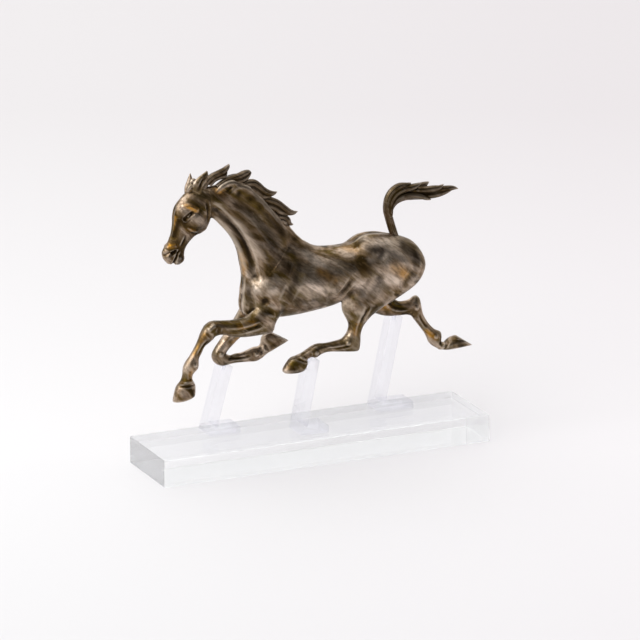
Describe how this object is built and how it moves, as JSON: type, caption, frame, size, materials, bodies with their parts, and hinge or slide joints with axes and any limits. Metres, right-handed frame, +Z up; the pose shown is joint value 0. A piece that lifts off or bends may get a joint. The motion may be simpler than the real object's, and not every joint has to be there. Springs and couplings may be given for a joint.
{
  "type": "horse statue",
  "caption": "Patinated bronze galloping horse with streaming mane and raised tail, pegged by its legs to leaning clear acrylic struts on a long clear acrylic block.",
  "frame": {"origin": "middle of the base block's underside", "axes": "+Z up; the long base lies along X and the horse runs towards -X, so its near (left) side faces -Y"},
  "size_m": [0.498, 0.119, 0.419],
  "materials": {
    "patinated_bronze": "satin brown patina with rubbed golden and silvery patches",
    "cast_acrylic": "clear, flame-polished faces"
  },
  "bodies": {
    "root": {"base_block": "cast_acrylic", "front_strut": "cast_acrylic", "middle_strut": "cast_acrylic", "rear_strut": "cast_acrylic", "front_pin": "cast_acrylic", "middle_pin": "cast_acrylic", "rear_pin": "cast_acrylic", "torso": "patinated_bronze", "neck": "patinated_bronze", "head": "patinated_bronze", "near_foreleg": "patinated_bronze", "far_foreleg": "patinated_bronze", "near_hind_leg": "patinated_bronze", "far_hind_leg": "patinated_bronze", "tail": "patinated_bronze", "mane_lock_1": "patinated_bronze", "mane_lock_2": "patinated_bronze", "mane_lock_3": "patinated_bronze", "mane_lock_4": "patinated_bronze", "mane_lock_5": "patinated_bronze"}
  },
  "joints": []
}
